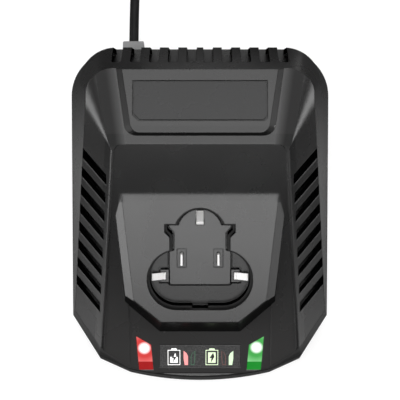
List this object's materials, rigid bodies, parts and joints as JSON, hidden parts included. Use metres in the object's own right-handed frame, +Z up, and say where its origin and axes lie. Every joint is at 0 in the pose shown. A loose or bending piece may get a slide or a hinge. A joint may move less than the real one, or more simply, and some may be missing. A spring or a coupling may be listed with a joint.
{
  "type": "battery charger",
  "caption": "Mains battery charger with a sloping front, a three-lobed battery pocket with sprung contacts, slotted flanks and back, indicator lenses and a corded plug.",
  "frame": {"origin": "centre of the housing's footprint, on the surface that the feet stand on", "axes": "+Z up, +Y from the indicator lip to the cord end, +X to the right seen from the lip"},
  "size_m": [0.1557, 0.2448, 0.0621],
  "materials": {
    "black_shell": "fine spark-eroded texture, satin",
    "dark_plate": "satin film",
    "label_film": "satin film",
    "red_lens": "clear red acrylic",
    "green_lens": "clear green acrylic",
    "block_plastic": "satin",
    "plated_bronze": "bright nickel plate",
    "steel": "zinc plated",
    "foot_rubber": "matt",
    "cord_pvc": "satin PVC",
    "relief_pvc": "matt grey PVC",
    "board_laminate": "solder resist",
    "ferrite": "sintered",
    "winding": "yellow tape over copper wire",
    "capacitor_sleeve": "sleeve",
    "film_box": "moulded box",
    "fuse_ceramic": "glazed",
    "chip_epoxy": "moulded epoxy",
    "sink_metal": "extruded",
    "header_nylon": "natural nylon",
    "lead_pvc": "PVC",
    "tie_band": "band"
  },
  "bodies": {
    "charger": {"back_left_foot": "foot_rubber", "back_right_foot": "foot_rubber", "battery_socket": "black_shell", "board_screws": "steel", "bottom_housing": "black_shell", "bridge_rectifier": "chip_epoxy", "bulk_capacitor": "capacitor_sleeve", "choke_core": "ferrite", "choke_windings": "winding", "contact_leads": "lead_pvc", "control_chip": "chip_epoxy", "cord_coil": "cord_pvc", "cord_lead": "cord_pvc", "cord_tail": "cord_pvc", "cord_tie": "tie_band", "front_left_foot": "foot_rubber", "front_right_foot": "foot_rubber", "fuse": "fuse_ceramic", "green_lamp": "green_lens", "green_lens": "green_lens", "heat_sink": "sink_metal", "housing_screws": "steel", "indicator_label": "label_film", "lead_header": "header_nylon", "left_blade": "plated_bronze", "main_board": "board_laminate", "mains_leads": "lead_pvc", "name_plate": "dark_plate", "output_capacitors": "capacitor_sleeve", "plug_body": "cord_pvc", "plug_pins": "plated_bronze", "red_lamp": "red_lens", "red_lens": "red_lens", "right_blade": "plated_bronze", "socket_screws": "steel", "strain_relief": "relief_pvc", "suppression_capacitor": "film_box", "switching_transistor": "chip_epoxy", "terminal_block": "block_plastic", "terminal_screws": "steel", "top_housing": "black_shell", "transformer_core": "ferrite", "transformer_winding": "winding", "transistor_screw": "steel"},
    "top_spring": {"top_contact": "plated_bronze"},
    "left_spring": {"left_contact": "plated_bronze"},
    "right_spring": {"right_contact": "plated_bronze"}
  },
  "joints": [
    {"name": "top_contact_flex", "type": "hinge", "parent": "charger", "child": "top_spring", "pos_m": [0, -0.00973, 0.03485], "axis": [-1, 0, 0], "range_deg": [0, 6], "stiffness_Nm_per_rad": 0.13},
    {"name": "left_contact_flex", "type": "hinge", "parent": "charger", "child": "left_spring", "pos_m": [-0.0144, -0.03008, 0.0282], "axis": [0, -0.9505, -0.3107], "range_deg": [0, 6], "stiffness_Nm_per_rad": 0.13},
    {"name": "right_contact_flex", "type": "hinge", "parent": "charger", "child": "right_spring", "pos_m": [0.0144, -0.03008, 0.0282], "axis": [0, 0.9505, 0.3107], "range_deg": [0, 6], "stiffness_Nm_per_rad": 0.13}
  ]
}
